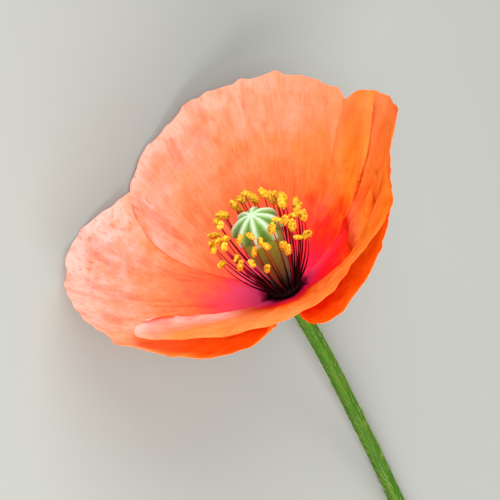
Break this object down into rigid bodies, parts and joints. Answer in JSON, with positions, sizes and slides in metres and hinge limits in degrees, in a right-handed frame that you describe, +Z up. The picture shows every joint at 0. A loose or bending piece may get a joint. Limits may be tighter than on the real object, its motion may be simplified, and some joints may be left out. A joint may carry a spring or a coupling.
{
  "type": "poppy flower",
  "caption": "Cut orange-red poppy lying down: four crinkled petals, a ring of yellow stamens, a ribbed green seed head and a slender bent stem.",
  "frame": {"origin": "on the surface the cut flower lies on, under the middle of its bounding box", "axes": "+Z up; the open flower looks towards -Y and up, and the stem runs towards +Y along the surface"},
  "size_m": [0.0439, 0.1114, 0.0342],
  "materials": {
    "petal": "satin",
    "stem": "satin",
    "pistil": "satin",
    "stamen": "matte"
  },
  "bodies": {
    "root": {"stem": "stem", "pistil": "pistil", "petal_back": "petal", "petal_left": "petal", "petal_right": "petal", "petal_front": "petal", "stamen_01": "stamen", "stamen_02": "stamen", "stamen_03": "stamen", "stamen_04": "stamen", "stamen_05": "stamen", "stamen_06": "stamen", "stamen_07": "stamen", "stamen_08": "stamen", "stamen_09": "stamen", "stamen_10": "stamen", "stamen_11": "stamen", "stamen_12": "stamen", "stamen_13": "stamen", "stamen_14": "stamen", "stamen_15": "stamen", "stamen_16": "stamen", "stamen_17": "stamen", "stamen_18": "stamen", "stamen_19": "stamen", "stamen_20": "stamen", "stamen_21": "stamen", "stamen_22": "stamen", "stamen_23": "stamen", "stamen_24": "stamen", "stamen_25": "stamen", "stamen_26": "stamen", "stamen_27": "stamen", "stamen_28": "stamen", "stamen_29": "stamen", "stamen_30": "stamen", "stamen_31": "stamen", "stamen_32": "stamen", "stamen_33": "stamen", "stamen_34": "stamen", "stamen_35": "stamen", "stamen_36": "stamen", "stamen_37": "stamen", "stamen_38": "stamen", "stamen_39": "stamen", "stamen_40": "stamen", "stamen_41": "stamen", "stamen_42": "stamen", "stamen_43": "stamen", "stamen_44": "stamen", "stamen_45": "stamen", "stamen_46": "stamen", "stamen_47": "stamen", "stamen_48": "stamen", "stamen_49": "stamen", "stamen_50": "stamen", "stamen_51": "stamen", "stamen_52": "stamen"}
  },
  "joints": []
}
